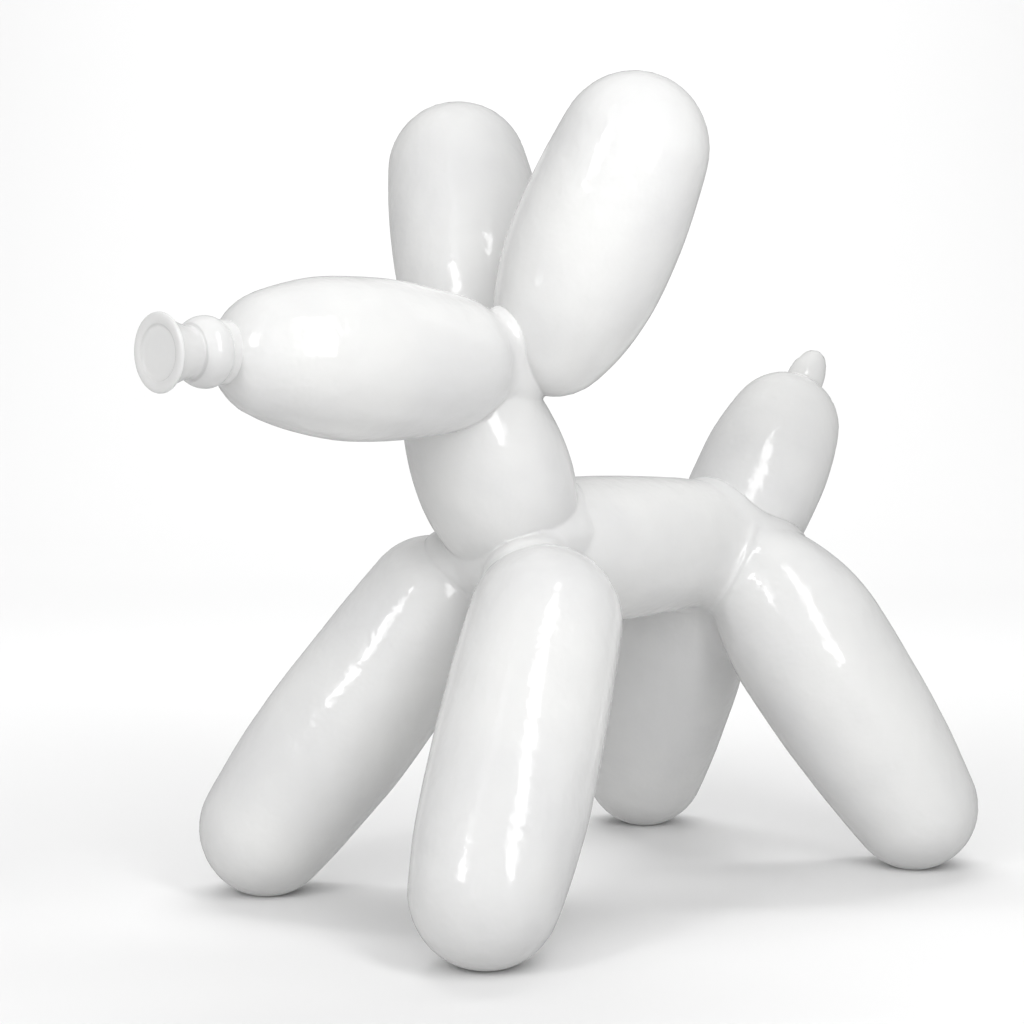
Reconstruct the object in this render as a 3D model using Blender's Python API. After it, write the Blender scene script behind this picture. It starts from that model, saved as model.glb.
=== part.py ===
# Balloon dog: a twisted-balloon dog cast as one piece of white glazed ceramic.
#
# The figure faces -Y, its left side is +X and it stands on z = 0, with its middle over the origin.
# Every balloon cell is a turned body: a long belly arc that runs into a round end on each side. The cells
# meet at three twists, the shoulder, the hip and the poll of the head, and a hollow web of slip fills
# each crease between them.

import math

import bmesh
import bpy
import numpy as np
from mathutils import Vector

# Body: the level cell between shoulder and hip. A cell's length runs over both of its round ends.
BODY_LENGTH = 0.1024
BODY_DIAMETER = 0.0420
BODY_FRONT_TAPER = 0.06
BODY_BACK_TAPER = 0.12
BODY_BELLY = 0.39
BODY_HEIGHT = 0.0942

# Neck: the short cell that rises from the shoulder and leans forward.
NECK_LENGTH = 0.0763
NECK_DIAMETER = 0.0429
NECK_LOWER_TAPER = 0.27
NECK_UPPER_TAPER = 0.28
NECK_BELLY = 0.41
NECK_LEAN = math.radians(26.2)
NECK_ROOT_AHEAD = 0.0045
NECK_ROOT_ABOVE = 0.0050

# Muzzle: the nearly level cell from the poll to the nose. It lies a little to the left of the neck.
MUZZLE_LENGTH = 0.0865
MUZZLE_DIAMETER = 0.0419
MUZZLE_BACK_TAPER = 0.12
MUZZLE_FRONT_TAPER = 0.20
MUZZLE_BELLY = 0.53
MUZZLE_RISE = math.radians(1.8)
MUZZLE_ROOT_AHEAD = 0.0110
MUZZLE_ROOT_ABOVE = 0.0063
MUZZLE_ROOT_LEFT = 0.0073

# Ears: two long cells from the poll, spread apart and leaning back a little.
EAR_LENGTH = 0.0900
EAR_DIAMETER = 0.0448
EAR_LOWER_TAPER = 0.24
EAR_UPPER_TAPER = 0.10
EAR_BELLY = 0.47
EAR_LEAN = math.radians(9.3)
EAR_SPREAD = math.radians(24.6)
EAR_ROOTS_APART = 0.0293
EAR_ROOT_BEHIND = 0.0208
EAR_ROOT_ABOVE = 0.0142

# Front legs, from the shoulder forward and out to the floor.
FRONT_LEG_DIAMETER = 0.0434
FRONT_ROOT_TAPER = 0.05
FRONT_FOOT_TAPER = 0.12
FRONT_BELLY = 0.56
FRONT_ROOTS_APART = 0.0474
FRONT_ROOT_AHEAD = 0.0151
FRONT_ROOT_BELOW = 0.0157
FRONT_FEET_APART = 0.0954
FRONT_FEET_AHEAD = 0.0550

# Hind legs, from the hip back and out to the floor. The right one stands a step ahead of the left one.
HIND_LEG_DIAMETER = 0.0467
HIND_ROOT_TAPER = 0.64
HIND_FOOT_TAPER = 0.18
HIND_BELLY = 0.40
HIND_ROOTS_APART = 0.0195
HIND_ROOT_BEHIND = 0.0112
HIND_FEET_APART = 0.0938
HIND_FEET_BEHIND = 0.0330
HIND_FEET_LEFT = 0.0015
HIND_STEP = 0.0184

# Tail: the plump cell that leans back from the hip, with the balloon's little nub at its end.
TAIL_LENGTH = 0.0780
TAIL_DIAMETER = 0.0391
TAIL_LOWER_TAPER = 0.06
TAIL_UPPER_TAPER = 0.11
TAIL_BELLY = 0.63
TAIL_LEAN = math.radians(34.1)
TAIL_ROOT_BEHIND = 0.0143
TAIL_ROOT_BELOW = 0.0017
NUB_LENGTH = 0.0184
NUB_DIAMETER = 0.0120
NUB_LOWER_TAPER = 0.25
NUB_UPPER_TAPER = 0.27
NUB_BELLY = 0.34
NUB_SUNK = 0.0027

# Nozzle: the rolled mouth of the balloon at the nose. It is turned a little to the left of the muzzle's line, and
# its axis dips a little.
NOZZLE_LENGTH = 0.0180
NOZZLE_TURN = math.radians(5.9)
NOZZLE_DIP = math.radians(1.3)
NOZZLE_RIGHT = 0.0005
NOZZLE_SUNK = 0.0084
RIM_RADIUS = 0.0095
RIM_ROUND = 0.0007
LIP_FRONT = 225
LIP_BACK = 30
MOUTH_FLOOR_RADIUS = 0.0064
MOUTH_DEPTH = 0.0008
FLARE_LENGTH = 0.0085
THROAT_RADIUS = 0.0062
THROAT_LENGTH = 0.0010
BULB_RADIUS = 0.0087
BULB_FRONT_RADIUS = 0.0070
BULB_FRONT_LENGTH = 0.0044
BULB_BACK_LENGTH = 0.0027
GROOVE_RADIUS = 0.0074
RING_RADIUS = 0.0077
RING_WIDTH = 0.0034

# The knot of slip that fills the middle of the poll, the webs in the creases and the ground of each foot.
POLL_KNOT_RADIUS = 0.0153
POLL_KNOT_BEHIND = 0.0076
POLL_KNOT_ABOVE = 0.0040
POLL_KNOT_LEFT = 0.0042
WEB_WIDTH = 0.0015
COLLAR_WIDTH = 0.0027
NUB_WEB_WIDTH = 0.0008
FOOT_FLAT_DEPTH = 0.0012

# Glaze colour, and how fine the faceted solid is.
GLAZE_WHITE = (0.80, 0.80, 0.79, 1.0)
GLAZE_ROUGHNESS = 0.06
SURFACE_STEP = 0.0018
FIGURE_TRIANGLES = 7400
TURNED_SIDES = 36
ARC_STEPS = 6
FLAT_RIM_STEPS = 3
BLANK_SIDES = 32
BLANK_RINGS = 24
SHARP_EDGE = math.radians(40)
MERGE_DISTANCE = 1e-6

# How far outside the crease a web's hollow arc is centred, as a share of the web's width.
WEB_CENTRE = 1.6

# Newton steps that bring a point onto the surface, the small step that its slope is taken over, and the least
# slope that a step is divided by.
SETTLE_STEPS = 4
SLOPE_STEP = 0.00002
LEAST_SLOPE = 0.3


def heading(ahead, left, up):
    """Unit vector from its parts ahead (-Y), to the left (+X) and up (+Z)."""
    return np.array(Vector((left, -ahead, up)).normalized())


def cell(root, tip, diameter, root_taper, tip_taper, belly):
    """A balloon cell between the centres of its round ends, widest at a share of the way between them.

    A taper is the share by which an end's round is smaller than the belly's radius.
    """
    span = np.linalg.norm(np.subtract(tip, root))
    return {
        "root": np.array(root, dtype=float),
        "axis": np.subtract(tip, root) / span,
        "span": span,
        "radius": diameter / 2,
        "root_round": diameter / 2 * (1 - root_taper),
        "tip_round": diameter / 2 * (1 - tip_taper),
        "belly": span * belly,
    }


def cell_along(root, axis, length, diameter, root_taper, tip_taper, belly):
    """A cell of a given overall length that leaves the centre of its root end along an axis."""
    span = length - diameter / 2 * (2 - root_taper - tip_taper)
    return cell(root, root + axis * span, diameter, root_taper, tip_taper, belly)


def tip_of(part):
    """The outermost point of a cell's tip end."""
    return part["root"] + part["axis"] * (part["span"] + part["tip_round"])


def tip_centre(part):
    """The centre of a cell's round tip end."""
    return part["root"] + part["axis"] * part["span"]


def leg(twist, side, behind, diameter, root_taper, foot_taper, belly, root_at, foot_at):
    """A leg from a twist to the floor; side is 1 for the left one and behind is 1 for a hind one.

    root_at gives its root's place out, behind and below the twist, and foot_at its foot's place out and behind.
    """
    root = twist + np.array((side * root_at[0], behind * root_at[1], -root_at[2]))
    foot = (side * foot_at[0], twist[1] + behind * foot_at[1], diameter / 2 * (1 - foot_taper) - FOOT_FLAT_DEPTH)
    return cell(root, foot, diameter, root_taper, foot_taper, belly)


def pose():
    """The cells of the dog by name, each placed from the twist that it leaves, and the knot of the poll."""
    half_body = (BODY_LENGTH - BODY_DIAMETER / 2 * (2 - BODY_FRONT_TAPER - BODY_BACK_TAPER)) / 2
    shoulder = np.array((0, -half_body, BODY_HEIGHT))
    hip = np.array((0, half_body, BODY_HEIGHT))
    parts = {"body": cell(shoulder, hip, BODY_DIAMETER, BODY_FRONT_TAPER, BODY_BACK_TAPER, BODY_BELLY)}

    neck_root = shoulder + np.array((0, -NECK_ROOT_AHEAD, NECK_ROOT_ABOVE))
    parts["neck"] = cell_along(neck_root, heading(math.sin(NECK_LEAN), 0, math.cos(NECK_LEAN)), NECK_LENGTH,
                               NECK_DIAMETER, NECK_LOWER_TAPER, NECK_UPPER_TAPER, NECK_BELLY)
    poll = tip_centre(parts["neck"])

    muzzle_root = poll + np.array((MUZZLE_ROOT_LEFT, -MUZZLE_ROOT_AHEAD, MUZZLE_ROOT_ABOVE))
    parts["muzzle"] = cell_along(muzzle_root, heading(math.cos(MUZZLE_RISE), 0, math.sin(MUZZLE_RISE)),
                                 MUZZLE_LENGTH, MUZZLE_DIAMETER, MUZZLE_BACK_TAPER, MUZZLE_FRONT_TAPER,
                                 MUZZLE_BELLY)

    tail_root = hip + np.array((0, TAIL_ROOT_BEHIND, -TAIL_ROOT_BELOW))
    parts["tail"] = cell_along(tail_root, heading(-math.sin(TAIL_LEAN), 0, math.cos(TAIL_LEAN)), TAIL_LENGTH,
                               TAIL_DIAMETER, TAIL_LOWER_TAPER, TAIL_UPPER_TAPER, TAIL_BELLY)
    nub_root = tip_of(parts["tail"]) - parts["tail"]["axis"] * NUB_SUNK
    parts["nub"] = cell_along(nub_root, parts["tail"]["axis"], NUB_LENGTH, NUB_DIAMETER, NUB_LOWER_TAPER,
                              NUB_UPPER_TAPER, NUB_BELLY)

    for name, side in (("left", 1), ("right", -1)):
        ear_root = poll + np.array((side * EAR_ROOTS_APART / 2, EAR_ROOT_BEHIND, EAR_ROOT_ABOVE))
        ear_heading = heading(-math.tan(EAR_LEAN), side * math.tan(EAR_SPREAD), 1)
        parts[name + "_ear"] = cell_along(ear_root, ear_heading, EAR_LENGTH, EAR_DIAMETER, EAR_LOWER_TAPER,
                                          EAR_UPPER_TAPER, EAR_BELLY)
        parts[name + "_front_leg"] = leg(shoulder, side, -1, FRONT_LEG_DIAMETER, FRONT_ROOT_TAPER,
                                         FRONT_FOOT_TAPER, FRONT_BELLY,
                                         (FRONT_ROOTS_APART / 2, FRONT_ROOT_AHEAD, FRONT_ROOT_BELOW),
                                         (FRONT_FEET_APART / 2, FRONT_FEET_AHEAD))
        parts[name + "_hind_leg"] = leg(hip, side, 1, HIND_LEG_DIAMETER, HIND_ROOT_TAPER, HIND_FOOT_TAPER,
                                        HIND_BELLY, (HIND_ROOTS_APART / 2, HIND_ROOT_BEHIND, 0),
                                        (HIND_FEET_APART / 2 + side * HIND_FEET_LEFT,
                                         HIND_FEET_BEHIND + side * HIND_STEP / 2))
    knot = {"centre": poll + np.array((POLL_KNOT_LEFT, POLL_KNOT_BEHIND, POLL_KNOT_ABOVE)), "radius": POLL_KNOT_RADIUS}
    return parts, knot


def cell_distance(points, part):
    """Signed distance from each point to a cell, negative inside."""
    offset = points - part["root"]
    along = offset @ part["axis"]
    across = np.sqrt(np.maximum((offset * offset).sum(axis=1) - along * along, 0))
    along = along - part["belly"]
    tipward = along > 0
    along = np.abs(along)
    end_round = np.where(tipward, part["tip_round"], part["root_round"])
    reach = np.where(tipward, part["span"] - part["belly"], part["belly"])
    drop = part["radius"] - end_round
    arc = (reach * reach + part["radius"] ** 2 - end_round**2) / (2 * drop)
    height = across + arc - part["radius"]
    at_end = reach * height < (arc - part["radius"]) * along
    return np.where(at_end, np.hypot(along - reach, across) - end_round, np.hypot(along, height) - arc)


def bridged(first, second, width):
    """Distance to two forms and the hollow web of slip in the crease between them."""
    centre = width * WEB_CENTRE
    arc = math.hypot(centre - width, centre)
    web = arc - np.hypot(first - centre, second - centre)
    plain = np.minimum(first, second)
    return np.where((first < width) & (second < width), np.minimum(plain, web), plain)


def figure_distance(points, parts, knot):
    """Signed distance to the whole dog, without its nozzle."""
    order = ("body", "left_front_leg", "right_front_leg", "left_hind_leg", "right_hind_leg", "tail", "neck",
             "muzzle", "left_ear", "right_ear")
    distance = np.linalg.norm(points - knot["centre"], axis=1) - knot["radius"]
    for name in order:
        width = COLLAR_WIDTH if name in ("neck", "tail") else WEB_WIDTH
        distance = bridged(distance, cell_distance(points, parts[name]), width)
    return bridged(distance, cell_distance(points, parts["nub"]), NUB_WEB_WIDTH)


def settled(points, distance, in_plane=False):
    """Points brought onto the zero surface of a distance; in_plane keeps their height."""
    axes = np.eye(3)[:2] if in_plane else np.eye(3)
    for _ in range(SETTLE_STEPS):
        slope = np.zeros_like(points)
        for axis in axes:
            rise = distance(points + axis * SLOPE_STEP) - distance(points - axis * SLOPE_STEP)
            slope += np.outer(rise / (2 * SLOPE_STEP), axis)
        steep = np.maximum((slope * slope).sum(axis=1), LEAST_SLOPE**2)
        points = points - slope * (distance(points) / steep)[:, None]
    return points


def new_object(name, mesh):
    """An object for a mesh, linked to the scene."""
    made = bpy.data.objects.new(name, mesh)
    bpy.context.scene.collection.objects.link(made)
    return made


def bake(thing):
    """Replace an object's mesh by what its modifiers make of it."""
    bpy.context.view_layer.update()
    evaluated = thing.evaluated_get(bpy.context.evaluated_depsgraph_get())
    mesh = bpy.data.meshes.new_from_object(evaluated)
    thing.modifiers.clear()
    thing.data = mesh


def move_vertices(mesh, change):
    """Put a mesh's vertices where a function of their places says."""
    points = np.empty(len(mesh.vertices) * 3)
    mesh.vertices.foreach_get("co", points)
    points = change(points.reshape(-1, 3))
    mesh.vertices.foreach_set("co", points.ravel())
    mesh.update()


def rough_figure(parts, knot):
    """All cells and the knot as overlapping round blanks in one mesh."""
    blanks = bmesh.new()
    for part in parts.values():
        half_length = (part["root_round"] + part["span"] + part["tip_round"]) / 2
        centre = part["root"] + part["axis"] * (half_length - part["root_round"])
        turn = Vector((0, 0, 1)).rotation_difference(Vector(part["axis"])).to_matrix().to_4x4()
        made = bmesh.ops.create_uvsphere(blanks, u_segments=BLANK_SIDES, v_segments=BLANK_RINGS, radius=1)["verts"]
        bmesh.ops.scale(blanks, vec=(part["radius"], part["radius"], half_length), verts=made)
        bmesh.ops.transform(blanks, matrix=turn, verts=made)
        bmesh.ops.translate(blanks, vec=centre, verts=made)
    made = bmesh.ops.create_uvsphere(blanks, u_segments=BLANK_SIDES, v_segments=BLANK_RINGS, radius=1)["verts"]
    bmesh.ops.scale(blanks, vec=[knot["radius"]] * 3, verts=made)
    bmesh.ops.translate(blanks, vec=knot["centre"], verts=made)
    return blanks


def make_figure(parts, knot):
    """The dog without its nozzle: blanks grown together, brought onto the true form and thinned out."""
    blanks = rough_figure(parts, knot)
    mesh = bpy.data.meshes.new("balloon_dog")
    blanks.to_mesh(mesh)
    blanks.free()
    figure = new_object("balloon_dog", mesh)

    def on_surface(points):
        return settled(points, lambda places: figure_distance(places, parts, knot))

    grow = figure.modifiers.new("grow together", "REMESH")
    grow.mode = "VOXEL"
    grow.voxel_size = SURFACE_STEP
    bake(figure)
    move_vertices(figure.data, on_surface)
    thin = figure.modifiers.new("thin out", "DECIMATE")
    thin.ratio = FIGURE_TRIANGLES / (2 * len(figure.data.polygons))
    bake(figure)
    move_vertices(figure.data, on_surface)
    return figure


def flatten_feet(figure, parts, knot):
    """Cut the feet off level at the floor, with round edges to their flats."""
    work = bmesh.new()
    work.from_mesh(figure.data)
    everything = work.verts[:] + work.edges[:] + work.faces[:]
    bmesh.ops.bisect_plane(work, geom=everything, dist=MERGE_DISTANCE, plane_co=(0, 0, 0), plane_no=(0, 0, -1),
                           clear_outer=True)
    rims = [edge for edge in work.edges if edge.is_boundary]
    bmesh.ops.subdivide_edges(work, edges=rims, cuts=FLAT_RIM_STEPS - 1)
    rim_vertices = [vertex for vertex in work.verts if vertex.is_boundary]
    places = np.array([vertex.co for vertex in rim_vertices])
    places[:, 2] = 0
    places = settled(places, lambda spots: figure_distance(spots, parts, knot), in_plane=True)
    for vertex, place in zip(rim_vertices, places):
        vertex.co = place
    bmesh.ops.holes_fill(work, edges=[edge for edge in work.edges if edge.is_boundary])
    work.to_mesh(figure.data)
    work.free()


def arc_points(centre, radii, start, end):
    """Points of an elliptic arc in (along, across), from one angle in degrees to another."""
    angles = [math.radians(start + (end - start) * step / ARC_STEPS) for step in range(ARC_STEPS + 1)]
    return [(centre[0] + radii[0] * math.cos(angle), centre[1] + radii[1] * math.sin(angle)) for angle in angles]


def nozzle_profile():
    """The nozzle's outline in (along, across), from the mouth's floor back to its buried end."""
    profile = [(MOUTH_DEPTH, 0), (MOUTH_DEPTH, MOUTH_FLOOR_RADIUS)]
    profile += arc_points((RIM_ROUND, RIM_RADIUS - RIM_ROUND), (RIM_ROUND, RIM_ROUND), LIP_FRONT, LIP_BACK)
    throat_end = FLARE_LENGTH + THROAT_LENGTH
    profile += [(FLARE_LENGTH, THROAT_RADIUS), (throat_end, THROAT_RADIUS)]
    bulb_middle = throat_end + BULB_FRONT_LENGTH
    front = math.asin(BULB_FRONT_RADIUS / BULB_RADIUS)
    back = math.asin(GROOVE_RADIUS / BULB_RADIUS)
    front_radii = (BULB_FRONT_LENGTH / math.cos(front), BULB_RADIUS)
    back_radii = (BULB_BACK_LENGTH / math.cos(back), BULB_RADIUS)
    profile += arc_points((bulb_middle, 0), front_radii, 180 - math.degrees(front), 90)
    profile += arc_points((bulb_middle, 0), back_radii, 90, math.degrees(back))[1:]
    ring_middle = bulb_middle + BULB_BACK_LENGTH + RING_WIDTH / 2
    profile += arc_points((ring_middle, GROOVE_RADIUS), (RING_WIDTH / 2, RING_RADIUS - GROOVE_RADIUS), 180, 0)[1:]
    buried = NOZZLE_LENGTH + NOZZLE_SUNK
    profile += [(buried, GROOVE_RADIUS), (buried, 0)]
    return profile


def add_nozzle(figure, muzzle):
    """Turn the nozzle and grow it onto the muzzle's end."""
    work = bmesh.new()
    spots = [work.verts.new((across, 0, -along)) for along, across in nozzle_profile()]
    edges = [work.edges.new(pair) for pair in zip(spots, spots[1:])]
    bmesh.ops.spin(work, geom=spots + edges, cent=(0, 0, 0), axis=(0, 0, 1), angle=math.tau, steps=TURNED_SIDES,
                   use_duplicate=False)
    bmesh.ops.remove_doubles(work, verts=work.verts, dist=MERGE_DISTANCE)
    bmesh.ops.recalc_face_normals(work, faces=work.faces)
    axis = heading(math.cos(NOZZLE_TURN) * math.cos(NOZZLE_DIP), math.sin(NOZZLE_TURN) * math.cos(NOZZLE_DIP),
                   -math.sin(NOZZLE_DIP))
    turn = Vector((0, 0, 1)).rotation_difference(Vector(axis)).to_matrix().to_4x4()
    bmesh.ops.transform(work, matrix=turn, verts=work.verts)
    root = tip_of(muzzle) - np.array((NOZZLE_RIGHT, 0, 0))
    bmesh.ops.translate(work, vec=root + axis * NOZZLE_LENGTH, verts=work.verts)
    mesh = bpy.data.meshes.new("nozzle")
    work.to_mesh(mesh)
    work.free()
    nozzle = new_object("nozzle", mesh)
    join = figure.modifiers.new("grow nozzle on", "BOOLEAN")
    join.operation = "UNION"
    join.object = nozzle
    bake(figure)
    bpy.data.objects.remove(nozzle)


def centre_over_origin(figure):
    """Shift the figure level so that its bounding box is centred over the origin."""
    def centred(points):
        middle = (points.max(axis=0) + points.min(axis=0)) / 2
        return points - (middle[0], middle[1], 0)

    move_vertices(figure.data, centred)


def glaze(figure):
    """Give the figure its white gloss glaze."""
    material = bpy.data.materials.new("white gloss glaze")
    material.use_nodes = True
    shader = material.node_tree.nodes["Principled BSDF"]
    shader.inputs["Base Color"].default_value = GLAZE_WHITE
    shader.inputs["Roughness"].default_value = GLAZE_ROUGHNESS
    shader.inputs["Metallic"].default_value = 0.0
    figure.data.materials.clear()
    figure.data.materials.append(material)


for old in list(bpy.data.objects):
    bpy.data.objects.remove(old)

dog_parts, dog_knot = pose()
dog = make_figure(dog_parts, dog_knot)
flatten_feet(dog, dog_parts, dog_knot)
add_nozzle(dog, dog_parts["muzzle"])
centre_over_origin(dog)
glaze(dog)
dog.data.shade_smooth()
dog.data.set_sharp_from_angle(angle=SHARP_EDGE)
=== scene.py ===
"""White glazed ceramic balloon dog, in the studio."""

import math

import bmesh
import bpy
import numpy as np
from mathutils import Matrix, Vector


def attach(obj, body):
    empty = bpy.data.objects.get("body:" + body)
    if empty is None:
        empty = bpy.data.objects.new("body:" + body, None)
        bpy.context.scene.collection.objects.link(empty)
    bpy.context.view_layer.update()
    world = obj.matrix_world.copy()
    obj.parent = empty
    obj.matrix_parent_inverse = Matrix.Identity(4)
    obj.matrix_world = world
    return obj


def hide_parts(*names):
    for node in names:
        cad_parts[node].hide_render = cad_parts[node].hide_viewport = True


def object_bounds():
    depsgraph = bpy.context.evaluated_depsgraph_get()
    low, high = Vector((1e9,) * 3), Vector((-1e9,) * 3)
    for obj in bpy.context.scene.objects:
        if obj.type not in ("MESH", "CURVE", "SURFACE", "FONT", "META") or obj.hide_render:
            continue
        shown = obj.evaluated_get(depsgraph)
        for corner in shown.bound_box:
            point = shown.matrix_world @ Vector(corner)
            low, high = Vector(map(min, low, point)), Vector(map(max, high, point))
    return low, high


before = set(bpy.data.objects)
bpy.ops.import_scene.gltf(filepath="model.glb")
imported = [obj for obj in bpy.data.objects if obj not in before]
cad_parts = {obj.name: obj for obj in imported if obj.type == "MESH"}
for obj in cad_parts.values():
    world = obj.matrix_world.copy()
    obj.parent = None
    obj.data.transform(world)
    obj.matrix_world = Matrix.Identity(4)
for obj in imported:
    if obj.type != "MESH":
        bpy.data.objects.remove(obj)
cad_box = [list(corner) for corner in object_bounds()]

# The figure. It is slip-cast in white earthenware as one hollow piece, and glazed clear over white slip. It
# copies one long balloon twisted into cells: body, neck, muzzle, two ears, four legs and a tail with a nub.
# Slip and glaze lie in the creases between the cells as narrow hollow webs with a crisp upper edge.
BODY_HEIGHT = 0.0942
SHOULDER_TO_HIP = 0.06418
BODY_MIDDLE = (-0.00034, 0.03049)
FOOT_FLAT_DEPTH = 0.0012
HIND_FEET_LEFT = 0.0015
HIND_FEET_STAGGER = 0.0092
TAIL_FROM_HIP = (0, 0.0143, -0.0017)
NECK_FROM_SHOULDER = (0, -0.0045, 0.0050)
KNOT_FROM_POLL = (0.0042, 0.0076, 0.0040)
MUZZLE_FROM_POLL = (0.0073, -0.0110, 0.0063)
EAR_FROM_POLL = (0.01465, 0.0208, 0.0142)
NUB_SUNK = 0.0027
NECK_LEAN = math.radians(26.2)
MUZZLE_RISE = math.radians(1.8)
EAR_LEAN = math.radians(9.3)
EAR_SPREAD = math.radians(24.6)
TAIL_LEAN = math.radians(34.1)
SIDES = {"left": 1, "right": -1}


def heading(ahead, left, up):
    """Unit vector from its parts ahead (-Y), to the left (+X) and up (+Z)."""
    return np.array(Vector((left, -ahead, up)).normalized())


def cell(root, tip, diameter, root_taper, tip_taper, belly):
    """A balloon cell between the centres of its end rounds.

    A taper is the share by which an end's round is smaller than the belly. Belly is the share of the way
    from root to tip at which the cell is widest.
    """
    return {
        "Root": np.array(root, dtype=float),
        "Tip": np.array(tip, dtype=float),
        "Diameter": diameter,
        "Root Taper": root_taper,
        "Tip Taper": tip_taper,
        "Belly": belly,
    }


def cell_along(root, axis, length, diameter, root_taper, tip_taper, belly):
    """A cell of a given overall length that leaves its root along an axis."""
    span = length - diameter / 2 * (2 - root_taper - tip_taper)
    return cell(root, root + axis * span, diameter, root_taper, tip_taper, belly)


def axis_of(part):
    """The unit vector from a cell's root to its tip."""
    run = part["Tip"] - part["Root"]
    return run / np.linalg.norm(run)


def far_end(part):
    """The outermost point of a cell's tip."""
    return part["Tip"] + axis_of(part) * part["Diameter"] / 2 * (1 - part["Tip Taper"])


def leg(twist, side, root_at, foot_at, diameter, root_taper, foot_taper, belly):
    """A leg from a twist to the ground.

    root_at is how far out, behind and below the twist the leg's root lies. foot_at is how far out from the
    body's middle and behind the twist its foot stands.
    """
    root = twist + np.array((side * root_at[0], root_at[1], -root_at[2]))
    foot_round = diameter / 2 * (1 - foot_taper)
    foot = (BODY_MIDDLE[0] + side * foot_at[0], twist[1] + foot_at[1], foot_round - FOOT_FLAT_DEPTH)
    return cell(root, foot, diameter, root_taper, foot_taper, belly)


shoulder = np.array((BODY_MIDDLE[0], BODY_MIDDLE[1] - SHOULDER_TO_HIP / 2, BODY_HEIGHT))
hip = np.array((BODY_MIDDLE[0], BODY_MIDDLE[1] + SHOULDER_TO_HIP / 2, BODY_HEIGHT))
cells = {"body": cell(shoulder, hip, diameter=0.0420, root_taper=0.06, tip_taper=0.12, belly=0.39)}
for name, side in SIDES.items():
    cells[name + " front leg"] = leg(
        shoulder, side, root_at=(0.0237, -0.0151, 0.0157), foot_at=(0.0477, -0.0550), diameter=0.0434,
        root_taper=0.05, foot_taper=0.12, belly=0.56,
    )
for name, side in SIDES.items():
    cells[name + " hind leg"] = leg(
        hip, side, root_at=(0.00975, 0.0112, 0.0),
        foot_at=(0.0469 + side * HIND_FEET_LEFT, 0.0330 + side * HIND_FEET_STAGGER),
        diameter=0.0467, root_taper=0.64, foot_taper=0.18, belly=0.40,
    )
cells["tail"] = cell_along(
    hip + np.array(TAIL_FROM_HIP), heading(-math.sin(TAIL_LEAN), 0, math.cos(TAIL_LEAN)), length=0.0780,
    diameter=0.0391, root_taper=0.06, tip_taper=0.11, belly=0.63,
)
cells["neck"] = cell_along(
    shoulder + np.array(NECK_FROM_SHOULDER), heading(math.sin(NECK_LEAN), 0, math.cos(NECK_LEAN)),
    length=0.0763, diameter=0.0429, root_taper=0.27, tip_taper=0.28, belly=0.41,
)
poll = cells["neck"]["Tip"]
poll_knot = poll + np.array(KNOT_FROM_POLL)
cells["muzzle"] = cell_along(
    poll + np.array(MUZZLE_FROM_POLL), heading(math.cos(MUZZLE_RISE), 0, math.sin(MUZZLE_RISE)),
    length=0.0865, diameter=0.0419, root_taper=0.12, tip_taper=0.20, belly=0.53,
)
for name, side in SIDES.items():
    cells[name + " ear"] = cell_along(
        poll + np.array(EAR_FROM_POLL) * (side, 1, 1),
        heading(-math.tan(EAR_LEAN), side * math.tan(EAR_SPREAD), 1), length=0.0900, diameter=0.0448,
        root_taper=0.24, tip_taper=0.10, belly=0.47,
    )
tail_axis = axis_of(cells["tail"])
cells["nub"] = cell_along(
    far_end(cells["tail"]) - tail_axis * NUB_SUNK, tail_axis, length=0.0184, diameter=0.0120,
    root_taper=0.25, tip_taper=0.27, belly=0.34,
)

# The skin over the cells. A softness is how far apart two forms still blend. A collar is a web of glaze with
# a height up one form and a width out over the other. The waves are the faint unevenness of a cast surface.
SKIN_SIZES = {
    "Knot Radius": 0.0153,
    "Knot Softness": 0.0014,
    "Fork Softness": 0.0080,
    "Front Softness": 0.0070,
    "Hind Softness": 0.0120,
    "Ridge Sunk": 0.0014,
    "Ridge Radius": 0.0008,
    "Ridge Softness": 0.0020,
    "Collar Bulge": 1.35,
    "Tail Collar Height": 0.0016,
    "Tail Collar Width": 0.0030,
    "Tail Collar Softness": 0.0014,
    "Neck Collar Height": 0.0026,
    "Neck Collar Width": 0.0054,
    "Neck Collar Softness": 0.0010,
    "Neck Softness": 0.0010,
    "Collar Full Below": 0.0995,
    "Collar Thin Above": 0.1090,
    "Collar Thin Share": 0.3,
    "Ear Softness": 0.0005,
    "Ribbon Height": 0.0015,
    "Ribbon Width": 0.0030,
    "Ribbon Softness": 0.0030,
    "Muzzle Softness": 0.0066,
    "Nub Softness": 0.0012,
    "Inset": 0.00014,
    "Wave Depth": 0.00080,
    "Wave Length": 0.024,
    "Wave Level": 0.3,
}
SKIN_SOCKETS = {name: "Float" for name in SKIN_SIZES}
GROUND_GAP = 0.00002
MATH = "ShaderNodeMath"
VECTOR = "ShaderNodeVectorMath"
SWITCH = "GeometryNodeSwitch"
GROUP = "GeometryNodeGroup"


def add_node(tree, kind, inputs=(), out=0, **settings):
    """Add a node, set it, feed its inputs in order or by name with sockets or values, and give an output."""
    node = tree.nodes.new(kind)
    for name, value in settings.items():
        setattr(node, name, value)
    for key, source in inputs.items() if isinstance(inputs, dict) else enumerate(inputs):
        if isinstance(source, bpy.types.NodeSocket):
            tree.links.new(source, node.inputs[key])
        elif source is not None:
            node.inputs[key].default_value = source
    return node.outputs[out]


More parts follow.
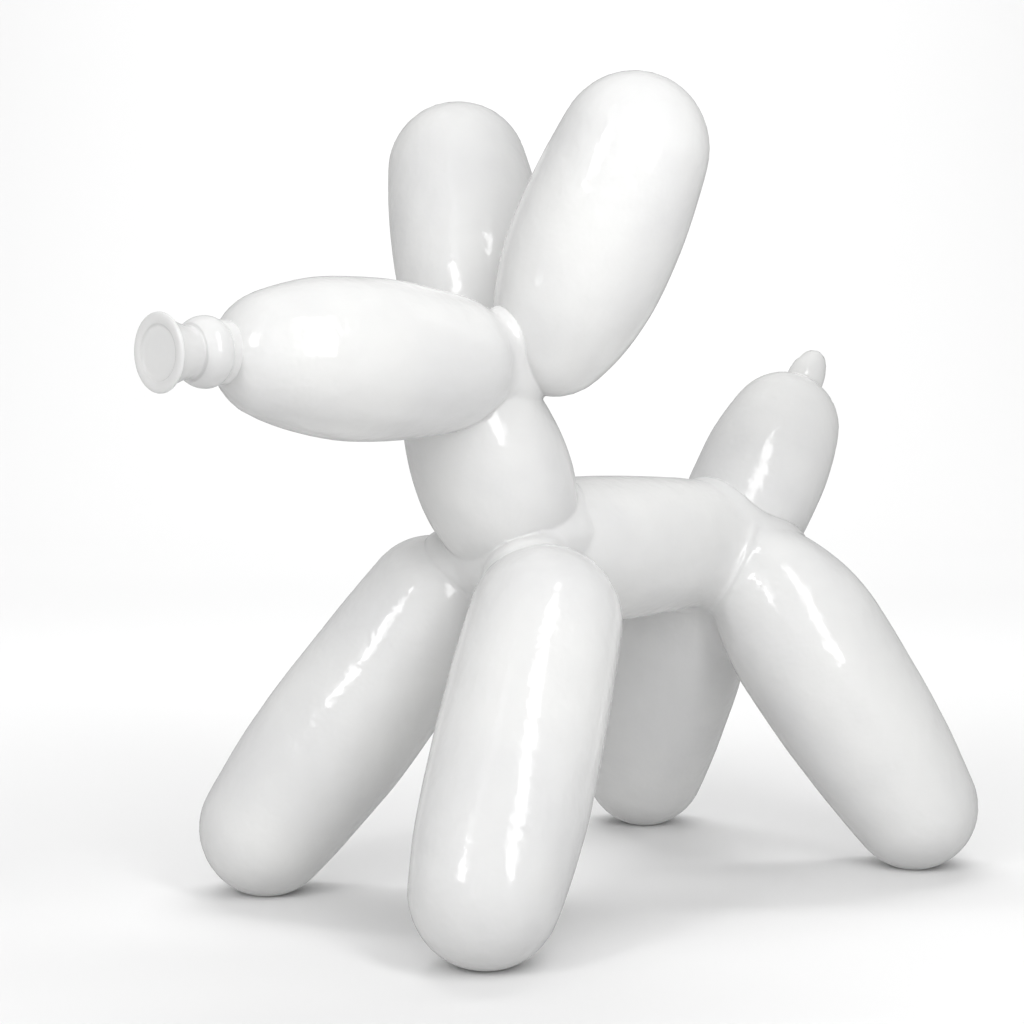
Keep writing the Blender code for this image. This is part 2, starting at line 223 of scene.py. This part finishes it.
def new_group(name, inputs, outputs):
    """An empty node group with named inputs and outputs, given as name and kind of socket."""
    tree = bpy.data.node_groups.new(name, "GeometryNodeTree")
    for in_out, sockets in (("INPUT", inputs), ("OUTPUT", outputs)):
        for label, kind in sockets.items():
            tree.interface.new_socket(label, in_out=in_out, socket_type="NodeSocket" + kind)
    return tree, tree.nodes.new("NodeGroupInput").outputs, tree.nodes.new("NodeGroupOutput").inputs


def hypotenuse(tree, x, y):
    """The length of the vector with two parts."""
    vector = add_node(tree, "ShaderNodeCombineXYZ", (x, y))
    return add_node(tree, VECTOR, (vector,), out="Value", operation="LENGTH")


def cell_group():
    """How far a point is from a cell's skin: one long arc bellies out between its two end rounds."""
    floats = ("Diameter", "Root Taper", "Tip Taper", "Belly")
    tree, given, result = new_group(
        "balloon cell",
        {"Position": "Vector", "Root": "Vector", "Tip": "Vector", **{name: "Float" for name in floats}},
        {"Distance": "Float"},
    )
    run = add_node(tree, VECTOR, (given["Tip"], given["Root"]), operation="SUBTRACT")
    span = add_node(tree, VECTOR, (run,), out="Value", operation="LENGTH")
    axis = add_node(tree, VECTOR, (run,), operation="NORMALIZE")
    offset = add_node(tree, VECTOR, (given["Position"], given["Root"]), operation="SUBTRACT")
    from_root = add_node(tree, VECTOR, (offset, axis), out="Value", operation="DOT_PRODUCT")
    sideways = add_node(tree, VECTOR, (offset, axis), operation="CROSS_PRODUCT")
    across = add_node(tree, VECTOR, (sideways,), out="Value", operation="LENGTH")
    radius = add_node(tree, MATH, (given["Diameter"], 0.5), operation="MULTIPLY")
    belly_at = add_node(tree, MATH, (span, given["Belly"]), operation="MULTIPLY")
    past_belly = add_node(tree, MATH, (from_root, belly_at), operation="SUBTRACT")
    tipward = add_node(tree, MATH, (past_belly, 0.0), operation="GREATER_THAN")
    taper = add_node(tree, SWITCH, (tipward, given["Root Taper"], given["Tip Taper"]), input_type="FLOAT")
    drop = add_node(tree, MATH, (radius, taper), operation="MULTIPLY")
    end_round = add_node(tree, MATH, (radius, drop), operation="SUBTRACT")
    tip_reach = add_node(tree, MATH, (span, belly_at), operation="SUBTRACT")
    reach = add_node(tree, SWITCH, (tipward, belly_at, tip_reach), input_type="FLOAT")
    along = add_node(tree, MATH, (past_belly,), operation="ABSOLUTE")
    both_rounds = add_node(tree, MATH, (radius, end_round), operation="ADD")
    rounds_part = add_node(tree, MATH, (both_rounds, drop), operation="MULTIPLY")
    chord = add_node(tree, MATH, (reach, reach, rounds_part), operation="MULTIPLY_ADD")
    twice_drop = add_node(tree, MATH, (drop, 2.0), operation="MULTIPLY")
    arc = add_node(tree, MATH, (chord, twice_drop), operation="DIVIDE")
    arc_centre = add_node(tree, MATH, (arc, radius), operation="SUBTRACT")
    height = add_node(tree, MATH, (across, arc_centre), operation="ADD")
    end_side = add_node(tree, MATH, (reach, height), operation="MULTIPLY")
    belly_side = add_node(tree, MATH, (arc_centre, along), operation="MULTIPLY")
    at_end = add_node(tree, MATH, (end_side, belly_side), operation="LESS_THAN")
    from_arc = add_node(tree, MATH, (hypotenuse(tree, along, height), arc), operation="SUBTRACT")
    past_end = add_node(tree, MATH, (along, reach), operation="SUBTRACT")
    from_end = add_node(tree, MATH, (hypotenuse(tree, past_end, across), end_round), operation="SUBTRACT")
    distance = add_node(tree, SWITCH, (at_end, from_arc, from_end), input_type="FLOAT")
    tree.links.new(distance, result["Distance"])
    return tree


def skin_group():
    """How far a point is from the glazed skin of the whole figure, cut level at the ground.

    Crease says how near a point is to a line where two forms meet, and so where the mesh has to be fine.
    """
    tree, given, result = new_group(
        "dog skin", {"Position": "Vector", **SKIN_SOCKETS}, {"Distance": "Float", "Crease": "Float"}
    )
    one_cell = cell_group()
    creases = []

    def off(name):
        """How far the point is from a cell's skin."""
        return add_node(tree, GROUP, {"Position": given["Position"], **cells[name]}, node_tree=one_cell)

    def both_near(first, second):
        """How near the point is to the line where two forms' skins meet."""
        sizes = [add_node(tree, MATH, (form,), operation="ABSOLUTE") for form in (first, second)]
        return add_node(tree, MATH, sizes, operation="MAXIMUM")

    def join(first, second, softness=None):
        """Two forms as one, with a hollow of some softness between them or else a crisp line."""
        creases.append(both_near(first, second))
        if softness is None:
            return add_node(tree, MATH, (first, second), operation="MINIMUM")
        return add_node(tree, MATH, (first, second, softness), operation="SMOOTH_MIN")

    def collar(first, second, height, width):
        """A collar of glaze where two forms meet, from a height on the first to a width off the second."""
        shares = []
        for form, size in ((first, height), (second, width)):
            share = add_node(tree, MATH, (form, size), operation="DIVIDE")
            share = add_node(tree, MATH, (share, 0.0), operation="MAXIMUM")
            shares.append(add_node(tree, MATH, (share, given["Collar Bulge"]), operation="POWER"))
        total = add_node(tree, MATH, shares, operation="ADD")
        flatness = add_node(tree, MATH, (1.0, given["Collar Bulge"]), operation="DIVIDE")
        reach = add_node(tree, MATH, (total, flatness), operation="POWER")
        beyond = add_node(tree, MATH, (reach, -1.0), operation="ADD")
        return add_node(tree, MATH, (beyond, height), operation="MULTIPLY")

    body = off("body")
    front_legs = join(off("left front leg"), off("right front leg"), given["Fork Softness"])
    distance = join(body, front_legs, given["Front Softness"])
    for side in SIDES:
        leg_skin = off(side + " hind leg")
        distance = join(distance, leg_skin, given["Hind Softness"])
        offsets = [
            add_node(tree, MATH, (form, given["Ridge Sunk"]), operation="SUBTRACT")
            for form in (body, leg_skin)
        ]
        from_line = hypotenuse(tree, *offsets)
        ridge = add_node(tree, MATH, (from_line, given["Ridge Radius"]), operation="SUBTRACT")
        distance = join(distance, ridge, given["Ridge Softness"])
    tail = off("tail")
    tail_collar = collar(distance, tail, given["Tail Collar Height"], given["Tail Collar Width"])
    distance = join(join(distance, tail_collar, given["Tail Collar Softness"]), tail)
    height = add_node(tree, "ShaderNodeSeparateXYZ", (given["Position"],), out="Z")
    fade_heights = (given["Collar Full Below"], given["Collar Thin Above"])
    fade_range = (height, *fade_heights, 1.0, given["Collar Thin Share"])
    fade = add_node(tree, "ShaderNodeMapRange", fade_range, interpolation_type="SMOOTHSTEP")
    collar_sizes = [
        add_node(tree, MATH, (fade, given["Neck Collar " + size]), operation="MULTIPLY")
        for size in ("Height", "Width")
    ]
    from_knot = add_node(tree, VECTOR, (given["Position"], poll_knot), out="Value", operation="DISTANCE")
    knot = add_node(tree, MATH, (from_knot, given["Knot Radius"]), operation="SUBTRACT")
    neck = off("neck")
    neck_collar = collar(distance, neck, *collar_sizes)
    ears = join(off("left ear"), off("right ear"))
    muzzle = off("muzzle")
    ribbon = collar(ears, muzzle, given["Ribbon Height"], given["Ribbon Width"])
    ribbon_and_knot = join(ribbon, knot, given["Ribbon Softness"])
    neck_and_knot = join(neck, ribbon_and_knot, given["Knot Softness"])
    distance = join(distance, neck_collar, given["Neck Collar Softness"])
    distance = join(distance, neck_and_knot, given["Neck Softness"])
    distance = join(distance, ears, given["Ear Softness"])
    distance = join(distance, join(muzzle, ribbon_and_knot, given["Muzzle Softness"]), given["Ear Softness"])
    distance = join(distance, off("nub"), given["Nub Softness"])
    wave_scale = add_node(tree, MATH, (1.0, given["Wave Length"]), operation="DIVIDE")
    noise_inputs = {"Vector": given["Position"], "Scale": wave_scale, "Detail": 1.0, "Roughness": 0.4}
    waves = add_node(tree, "ShaderNodeTexNoise", noise_inputs, out="Fac")
    hollows = add_node(tree, MATH, (waves, given["Wave Level"]), operation="SUBTRACT", use_clamp=True)
    sunk = add_node(tree, MATH, (hollows, given["Wave Depth"], given["Inset"]), operation="MULTIPLY_ADD")
    distance = add_node(tree, MATH, (distance, sunk), operation="ADD")
    below_ground = add_node(tree, MATH, (GROUND_GAP, height), operation="SUBTRACT")
    crease = both_near(distance, below_ground)
    for other in creases:
        crease = add_node(tree, MATH, (crease, other), operation="MINIMUM")
    tree.links.new(crease, result["Crease"])
    level = add_node(tree, MATH, (distance, below_ground), operation="MAXIMUM")
    tree.links.new(level, result["Distance"])
    return tree


# The mesh of the skin. A volume round the figure is meshed on an even grain, and the points then step down
# the slope of the skin's distance. Near the creases the edges are halved, and all points settle once more.
GRAIN = 0.0026
VOLUME_MARGIN = 0.005
EMPTY_DENSITY = -0.01
CREASE_REACHES = (0.0050, 0.0022, 0.0009)
SETTLE_STEPS = 4
SLOPE_STEP = 0.00005
SLOPE_CORNERS = ((1, -1, -1), (-1, -1, 1), (-1, 1, -1), (1, 1, 1))
LEAST_SLOPE = 0.3


def settle_group(skin):
    """Bring points onto the skin: a step down the slope that four samples round each point give."""
    tree, given, result = new_group(
        "step to the skin", {"Geometry": "Geometry", **SKIN_SOCKETS},
        {"Geometry": "Geometry", "Outward": "Vector", "Crease": "Float"},
    )
    sizes = {name: given[name] for name in SKIN_SIZES}
    position = add_node(tree, "GeometryNodeInputPosition")
    pulls = []
    total = 0.0
    for corner in SLOPE_CORNERS:
        spot = add_node(tree, VECTOR, (position, [SLOPE_STEP * part for part in corner]), operation="ADD")
        sample = add_node(tree, GROUP, {"Position": spot, **sizes}, node_tree=skin).node.outputs
        weighed = {"Vector": corner, "Scale": sample["Distance"]}
        pulls.append(add_node(tree, VECTOR, weighed, operation="SCALE"))
        total = add_node(tree, MATH, (total, sample["Distance"]), operation="ADD")
    slope = pulls[0]
    for pull in pulls[1:]:
        slope = add_node(tree, VECTOR, (slope, pull), operation="ADD")
    per_metre = 1 / (len(SLOPE_CORNERS) * SLOPE_STEP)
    slope = add_node(tree, VECTOR, {"Vector": slope, "Scale": per_metre}, operation="SCALE")
    steepness = add_node(tree, VECTOR, (slope, slope), out="Value", operation="DOT_PRODUCT")
    steepness = add_node(tree, MATH, (steepness, LEAST_SLOPE**2), operation="MAXIMUM")
    miss = add_node(tree, MATH, (total, -1 / len(SLOPE_CORNERS)), operation="MULTIPLY")
    amount = add_node(tree, MATH, (miss, steepness), operation="DIVIDE")
    offset = add_node(tree, VECTOR, {"Vector": slope, "Scale": amount}, operation="SCALE")
    moved = add_node(tree, "GeometryNodeSetPosition", (given["Geometry"], None, None, offset))
    tree.links.new(moved, result["Geometry"])
    tree.links.new(add_node(tree, VECTOR, (slope,), operation="NORMALIZE"), result["Outward"])
    tree.links.new(sample["Crease"], result["Crease"])
    return tree


def settled(tree, given, geometry, settle):
    """Step a geometry onto the skin, then keep each point's outward direction and nearness to a crease."""
    sizes = {name: given[name] for name in SKIN_SIZES}
    for _ in range(SETTLE_STEPS):
        geometry = add_node(tree, GROUP, {"Geometry": geometry, **sizes}, node_tree=settle)
    measured = add_node(tree, GROUP, {"Geometry": geometry, **sizes}, node_tree=settle).node.outputs
    for name, kind in (("outward", "FLOAT_VECTOR"), ("crease", "FLOAT")):
        kept = {"Geometry": geometry, "Name": name, "Value": measured[name.title()]}
        geometry = add_node(tree, "GeometryNodeStoreNamedAttribute", kept, data_type=kind, domain="POINT")
    return geometry


def growing_tree(skin, settle):
    """Fill a volume with the figure, mesh it on an even grain and settle the mesh on the skin."""
    tree, given, result = new_group(
        "grown dog", {"Geometry": "Geometry", "Grain": "Float", **SKIN_SOCKETS}, {"Geometry": "Geometry"}
    )
    sizes = {name: given[name] for name in SKIN_SIZES}
    position = add_node(tree, "GeometryNodeInputPosition")
    distance = add_node(tree, GROUP, {"Position": position, **sizes}, out="Distance", node_tree=skin)
    low = np.array(cad_box[0]) - VOLUME_MARGIN
    high = np.array(cad_box[1]) + VOLUME_MARGIN
    counts = [add_node(tree, MATH, (float(size), given["Grain"]), operation="DIVIDE") for size in high - low]
    density = add_node(tree, MATH, (distance, -1.0), operation="MULTIPLY")
    volume = add_node(tree, "GeometryNodeVolumeCube", (density, EMPTY_DENSITY, low, high, *counts))
    filled = {"Volume": volume, "Threshold": 0.0}
    mesh = add_node(tree, "GeometryNodeVolumeToMesh", filled, resolution_mode="GRID")
    tree.links.new(settled(tree, given, mesh, settle), result["Geometry"])
    return tree


def finishing_tree(settle, material):
    """Settle the refined mesh on the skin and glaze it."""
    tree, given, result = new_group(
        "glazed dog", {"Geometry": "Geometry", **SKIN_SOCKETS}, {"Geometry": "Geometry"}
    )
    mesh = settled(tree, given, given["Geometry"], settle)
    smooth = add_node(tree, "GeometryNodeSetShadeSmooth", (mesh,))
    real = add_node(tree, "GeometryNodeRealizeInstances", (smooth,))
    glazed = add_node(tree, "GeometryNodeSetMaterial", {"Geometry": real, "Material": material})
    tree.links.new(glazed, result["Geometry"])
    return tree


def shaped(thing, tree, sizes):
    """Run a node tree over an object once and keep the plain mesh that comes out."""
    modifier = thing.modifiers.new(tree.name, "NODES")
    modifier.node_group = tree
    for socket in tree.interface.items_tree:
        if socket.in_out == "INPUT" and socket.name in sizes:
            modifier[socket.identifier] = sizes[socket.name]
    bpy.context.view_layer.update()
    evaluated = thing.evaluated_get(bpy.context.evaluated_depsgraph_get())
    mesh = bpy.data.meshes.new_from_object(evaluated)
    thing.modifiers.remove(modifier)
    thing.data = mesh


def refine_creases(mesh, reaches):
    """Halve the edges near the creases, once for each reach, so that the crisp lines are finely meshed."""
    work = bmesh.new()
    work.from_mesh(mesh)
    for reach in reaches:
        nearness = work.verts.layers.float["crease"]
        near = [edge for edge in work.edges if min(end[nearness] for end in edge.verts) < reach]
        bmesh.ops.subdivide_edges(work, edges=near, cuts=1, use_grid_fill=True)
    bmesh.ops.triangulate(work, faces=[face for face in work.faces if len(face.verts) > 4])
    work.to_mesh(mesh)
    work.free()


# White gloss glaze over pale cast slip: an even white with the faintest clouds, 40 mm across, where it
# pooled thicker, and a hard clear shine. Reflections waver a little and lose their edges over ripples 6 mm
# across, as they do on a glaze fired by hand.
GLAZE_WHITE = "#d9d9d8"
POOLED_WHITE = "#d0d0d0"
CLOUD_SIZE = 0.0417
CLOUD_RANGE = (0.35, 0.65)
ROUGHNESS_RANGE = (0.11, 0.17)
RIPPLE_SIZE = 0.00588
RIPPLE_DEPTH = 0.00030
# The mix node has its inputs and outputs once for each kind of value, and these are the ones for colours.
MIX_COLOUR_INPUTS = (6, 7)
MIX_COLOUR_OUTPUT = 2


def hex_colour(code):
    """A linear colour from an sRGB hex code."""
    parts = [int(code[place:place + 2], 16) / 255 for place in (1, 3, 5)]
    return (*[part / 12.92 if part <= 0.04045 else ((part + 0.055) / 1.055) ** 2.4 for part in parts], 1.0)


glaze = bpy.data.materials.new("white gloss glaze on slip")
glaze.use_nodes = True
glaze_tree = glaze.node_tree
shader = glaze_tree.nodes["Principled BSDF"]
shader.inputs["IOR"].default_value = 1.5
place = add_node(glaze_tree, "ShaderNodeTexCoord", out="Object")
cloud_inputs = {"Vector": place, "Scale": 1 / CLOUD_SIZE, "Detail": 3.0}
clouds = add_node(glaze_tree, "ShaderNodeTexNoise", cloud_inputs, out="Fac")
thickness = add_node(glaze_tree, "ShaderNodeMapRange", (clouds, *CLOUD_RANGE, 0.0, 1.0))
whites = [hex_colour(code) for code in (GLAZE_WHITE, POOLED_WHITE)]
tones = {"Factor": thickness, **dict(zip(MIX_COLOUR_INPUTS, whites))}
tone = add_node(glaze_tree, "ShaderNodeMix", tones, out=MIX_COLOUR_OUTPUT, data_type="RGBA")
glaze_tree.links.new(tone, shader.inputs["Base Color"])
roughness = add_node(glaze_tree, "ShaderNodeMapRange", (clouds, *CLOUD_RANGE, *ROUGHNESS_RANGE))
glaze_tree.links.new(roughness, shader.inputs["Roughness"])
ripple_inputs = {"Vector": place, "Scale": 1 / RIPPLE_SIZE, "Detail": 2.0}
ripples = add_node(glaze_tree, "ShaderNodeTexNoise", ripple_inputs, out="Fac")
relief_inputs = {"Height": ripples, "Distance": RIPPLE_DEPTH, "Strength": 1.0}
relief = add_node(glaze_tree, "ShaderNodeBump", relief_inputs)
glaze_tree.links.new(relief, shader.inputs["Normal"])

dog_skin = skin_group()
settle_step = settle_group(dog_skin)
dog = bpy.data.objects.new("balloon_dog_skin", bpy.data.meshes.new("balloon_dog_skin"))
bpy.context.scene.collection.objects.link(dog)
shaped(dog, growing_tree(dog_skin, settle_step), {"Grain": GRAIN, **SKIN_SIZES})
refine_creases(dog.data, CREASE_REACHES)
shaped(dog, finishing_tree(settle_step, glaze), SKIN_SIZES)
outward = np.empty(len(dog.data.vertices) * 3)
dog.data.attributes["outward"].data.foreach_get("vector", outward)
dog.data.normals_split_custom_set_from_vertices(outward.reshape(-1, 3))
for name in ("outward", "crease"):
    dog.data.attributes.remove(dog.data.attributes[name])
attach(dog, "root")
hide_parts("balloon_dog")

# The nozzle. The balloon's mouth stands on the nose as a rolled rim round a shallow dish, and behind it come
# a flare, a throat, a bulb and a ring. It is cast and glazed in one with the muzzle, so its edges are soft.
NOZZLE_LENGTH = 0.0180
NOZZLE_TURN = math.radians(5.9)
NOZZLE_DIP = math.radians(1.3)
NOZZLE_RIGHT = 0.0005
NOZZLE_SUNK = 0.0084
NOZZLE_INSET = 0.0001
EDGE_ROUND = 0.0005
RIM_RADIUS = 0.0095
RIM_ROUND = 0.0007
RIM_END_ANGLE = 30
LIP_RADIUS = 0.0082
LIP_START_ANGLE = 235
DISH_RADIUS = 0.0064
DISH_DEPTH = 0.0008
FLARE_LENGTH = 0.0085
FLARE_FULLNESS = 0.0008
THROAT_RADIUS = 0.0062
THROAT_LENGTH = 0.0010
BULB_RADIUS = 0.0087
BULB_FRONT_RADIUS = 0.0070
BULB_FRONT_LENGTH = 0.0044
BULB_BACK_LENGTH = 0.0030
GROOVE_RADIUS = 0.0076
RING_RADIUS = 0.0078
RING_WIDTH = 0.0034
TURNED_SIDES = 160
ARC_STEPS = 14
MERGE_DISTANCE = 1e-7


def arc_run(centre, radii, start, end):
    """Points of an elliptic arc in (along, across), from one angle in degrees to another."""
    angles = [math.radians(start + (end - start) * step / ARC_STEPS) for step in range(ARC_STEPS + 1)]
    return [
        (centre[0] + radii[0] * math.cos(angle), centre[1] + radii[1] * math.sin(angle)) for angle in angles
    ]


def bend(start, pull, end):
    """A smooth bend between two points, pulled towards a third."""
    points = []
    for step in range(ARC_STEPS + 1):
        share = step / ARC_STEPS
        ways = ((1 - share) ** 2, 2 * share * (1 - share), share**2)
        corners = list(zip(ways, (start, pull, end)))
        points.append(tuple(sum(way * spot[axis] for way, spot in corners) for axis in (0, 1)))
    return points


def nozzle_profile():
    """The nozzle's outline in (along, across), from the middle of the dish back to its end in the muzzle."""
    lip_radii = (DISH_DEPTH, LIP_RADIUS - DISH_RADIUS)
    lip_inside = arc_run((DISH_DEPTH, LIP_RADIUS), lip_radii, LIP_START_ANGLE, 180)
    profile = [(DISH_DEPTH, 0), (DISH_DEPTH, DISH_RADIUS - 2 * EDGE_ROUND)]
    profile += bend((DISH_DEPTH, DISH_RADIUS - EDGE_ROUND), (DISH_DEPTH, DISH_RADIUS), lip_inside[0])
    profile += lip_inside[1:]
    profile += arc_run((RIM_ROUND, LIP_RADIUS), (RIM_ROUND, RIM_RADIUS - LIP_RADIUS), 180, RIM_END_ANGLE)[1:]
    flare_pull = (FLARE_LENGTH / 2, THROAT_RADIUS + FLARE_FULLNESS)
    profile += bend(profile[-1], flare_pull, (FLARE_LENGTH, THROAT_RADIUS))[1:]
    throat_end = FLARE_LENGTH + THROAT_LENGTH
    bulb_middle = throat_end + BULB_FRONT_LENGTH
    front = math.asin(BULB_FRONT_RADIUS / BULB_RADIUS)
    back = math.asin(GROOVE_RADIUS / BULB_RADIUS)
    front_radii = (BULB_FRONT_LENGTH / math.cos(front), BULB_RADIUS)
    back_radii = (BULB_BACK_LENGTH / math.cos(back), BULB_RADIUS)
    bulb = arc_run((bulb_middle, 0), front_radii, 180 - math.degrees(front), 90)
    bulb += arc_run((bulb_middle, 0), back_radii, 90, math.degrees(back))[1:]
    profile += bend((throat_end - EDGE_ROUND, THROAT_RADIUS), (throat_end, THROAT_RADIUS), bulb[0])
    profile += bulb[1:]
    ring_middle = bulb_middle + BULB_BACK_LENGTH + RING_WIDTH / 2
    ring_radii = (RING_WIDTH / 2, RING_RADIUS - GROOVE_RADIUS)
    profile += arc_run((ring_middle, GROOVE_RADIUS), ring_radii, 180, 0)[1:]
    buried = NOZZLE_LENGTH + NOZZLE_SUNK
    profile += [(buried, GROOVE_RADIUS), (buried, 0)]
    return profile


turned = bmesh.new()
spots = [turned.verts.new((across, 0, -along)) for along, across in nozzle_profile()]
runs = [turned.edges.new(pair) for pair in zip(spots, spots[1:])]
bmesh.ops.spin(
    turned, geom=spots + runs, cent=(0, 0, 0), axis=(0, 0, 1), angle=math.tau, steps=TURNED_SIDES,
    use_duplicate=False,
)
bmesh.ops.remove_doubles(turned, verts=turned.verts, dist=MERGE_DISTANCE)
bmesh.ops.recalc_face_normals(turned, faces=turned.faces)
level_share = math.cos(NOZZLE_DIP)
nozzle_axis = heading(
    math.cos(NOZZLE_TURN) * level_share, math.sin(NOZZLE_TURN) * level_share, -math.sin(NOZZLE_DIP)
)
turn = Vector((0, 0, 1)).rotation_difference(Vector(nozzle_axis)).to_matrix().to_4x4()
bmesh.ops.transform(turned, matrix=turn, verts=turned.verts)
nozzle_root = far_end(cells["muzzle"]) - np.array((NOZZLE_RIGHT, 0, 0))
nozzle_front = nozzle_root + nozzle_axis * (NOZZLE_LENGTH - NOZZLE_INSET)
bmesh.ops.translate(turned, vec=nozzle_front, verts=turned.verts)
nozzle_mesh = bpy.data.meshes.new("nozzle")
turned.to_mesh(nozzle_mesh)
turned.free()
nozzle = bpy.data.objects.new("nozzle", nozzle_mesh)
bpy.context.scene.collection.objects.link(nozzle)
nozzle_mesh.materials.append(glaze)
nozzle_mesh.shade_smooth()
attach(nozzle, "root")
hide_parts("balloon_dog")

# The studio's backdrop. It is matt white paper off a roll, which lies on the table and curves up behind the
# dog, square on to the camera. The glaze doesn't mirror it, so that the dog's outline stays dark against it.
VIEW_AZIMUTH = 49.8
VIEW_ELEVATION = 3.5
PAPER_WHITE = "#e2e2e2"
PAPER_ROUGHNESS = 0.9
SWEEP_WIDTH = 2.2
SWEEP_FRONT = 1.5
SWEEP_BEHIND = 1.2
SWEEP_RADIUS = 0.8
SWEEP_HEIGHT = 2.4
SWEEP_STEPS = 24


def direction(azimuth, elevation):
    """Unit vector towards an azimuth round the dog, 0 ahead of its nose, and an elevation, in degrees."""
    around = math.radians(azimuth)
    above = math.radians(elevation)
    return Vector((math.sin(around) * math.cos(above), -math.cos(around) * math.cos(above), math.sin(above)))


into_view = -direction(VIEW_AZIMUTH, 0)
rightwards = into_view.cross(Vector((0, 0, 1)))
sweep_line = [(-SWEEP_FRONT, 0.0), (SWEEP_BEHIND, 0.0)]
for step in range(1, SWEEP_STEPS + 1):
    angle = math.radians(90 * step / SWEEP_STEPS)
    sweep_line.append((SWEEP_BEHIND + SWEEP_RADIUS * math.sin(angle), SWEEP_RADIUS * (1 - math.cos(angle))))
sweep_line.append((SWEEP_BEHIND + SWEEP_RADIUS, SWEEP_HEIGHT))
paper = bmesh.new()
rows = []
for away, up in sweep_line:
    middle_of_row = into_view * away + Vector((0, 0, up))
    rows.append([paper.verts.new(middle_of_row + rightwards * SWEEP_WIDTH * half) for half in (-0.5, 0.5)])
for near, far in zip(rows, rows[1:]):
    paper.faces.new((near[0], near[1], far[1], far[0]))
sweep_mesh = bpy.data.meshes.new("paper_sweep")
paper.to_mesh(sweep_mesh)
paper.free()
sweep_mesh.shade_smooth()
sweep = bpy.data.objects.new("paper_sweep", sweep_mesh)
bpy.context.scene.collection.objects.link(sweep)
paper_white = bpy.data.materials.new("white backdrop paper")
paper_white.use_nodes = True
paper_shader = paper_white.node_tree.nodes["Principled BSDF"]
paper_shader.inputs["Base Color"].default_value = hex_colour(PAPER_WHITE)
paper_shader.inputs["Roughness"].default_value = PAPER_ROUGHNESS
sweep_mesh.materials.append(paper_white)
sweep.visible_glossy = False

# The light. A dim room, soft boxes near the dog on its left, ahead of it and overhead, and a broad low one
# beside the camera: the glaze mirrors all of these. A large box above the camera and the washes of the floor
# and of the backdrop light the dog without showing in its glaze.
ROOM_STRENGTH = 0.43
LIGHT_TARGET = Vector((0, -0.03, 0.12))
FLOOR_WASH_TARGET = into_view * 0.38 + rightwards * 0.35
BACKDROP_WASH_TARGET = into_view * (SWEEP_BEHIND + SWEEP_RADIUS / 2) + Vector((0, 0, 0.3))
world = bpy.data.worlds.new("studio")
bpy.context.scene.world = world
world.use_nodes = True
world.node_tree.nodes["Background"].inputs["Color"].default_value = (1, 1, 1, 1)
world.node_tree.nodes["Background"].inputs["Strength"].default_value = ROOM_STRENGTH


def soft_box(
    name, azimuth, elevation, distance, width, height, power, aim=LIGHT_TARGET, mirrored=True, spread=180
):
    """An area light at a distance from its aim, which it faces."""
    outward = direction(azimuth, elevation)
    lamp = bpy.data.lights.new(name, "AREA")
    lamp.shape = "RECTANGLE"
    lamp.size = width
    lamp.size_y = height
    lamp.energy = power
    lamp.spread = math.radians(spread)
    lamp_object = bpy.data.objects.new(name, lamp)
    lamp_object.location = aim + outward * distance
    lamp_object.rotation_euler = outward.to_track_quat("Z", "Y").to_euler()
    lamp_object.visible_glossy = mirrored
    bpy.context.scene.collection.objects.link(lamp_object)


soft_box("left_box", azimuth=84, elevation=30, distance=0.33, width=0.08, height=0.34, power=0.57)
soft_box("front_box", azimuth=14, elevation=24, distance=0.55, width=0.10, height=0.14, power=0.46)
soft_box("front_strip", azimuth=14, elevation=45, distance=0.71, width=0.10, height=0.50, power=0.14)
soft_box("overhead_box", azimuth=-85, elevation=72, distance=0.90, width=0.20, height=0.12, power=0.04)
soft_box(
    "camera_box", azimuth=35, elevation=32, distance=1.30, width=1.20, height=0.90, power=5.8, mirrored=False
)
soft_box("low_box", azimuth=60, elevation=8, distance=1.50, width=1.60, height=0.50, power=0.8)
soft_box(
    "floor_wash", VIEW_AZIMUTH, elevation=89, distance=1.0, width=1.8, height=0.4, power=0.52,
    aim=FLOOR_WASH_TARGET, mirrored=False, spread=40,
)
soft_box(
    "backdrop_wash", VIEW_AZIMUTH, elevation=62, distance=1.6, width=1.8, height=0.4, power=28.8,
    aim=BACKDROP_WASH_TARGET, mirrored=False,
)

# The camera. It looks at the dog's left front quarter through a long lens, from just above the height of the
# dog's back, and is square on to the backdrop.
VIEW_DISTANCE = 0.6088
VIEW_TARGET = Vector((-0.04282, 0.02800, 0.10248))
VIEW_LENS = 71.35
camera = bpy.data.cameras.new("camera")
camera.lens = VIEW_LENS
camera_object = bpy.data.objects.new("camera", camera)
bpy.context.scene.collection.objects.link(camera_object)
backwards = direction(VIEW_AZIMUTH, VIEW_ELEVATION)
camera_object.location = VIEW_TARGET + backwards * VIEW_DISTANCE
camera_object.rotation_euler = (-backwards).to_track_quat("-Z", "Y").to_euler()
bpy.context.scene.camera = camera_object
bpy.context.scene.view_settings.view_transform = "Standard"
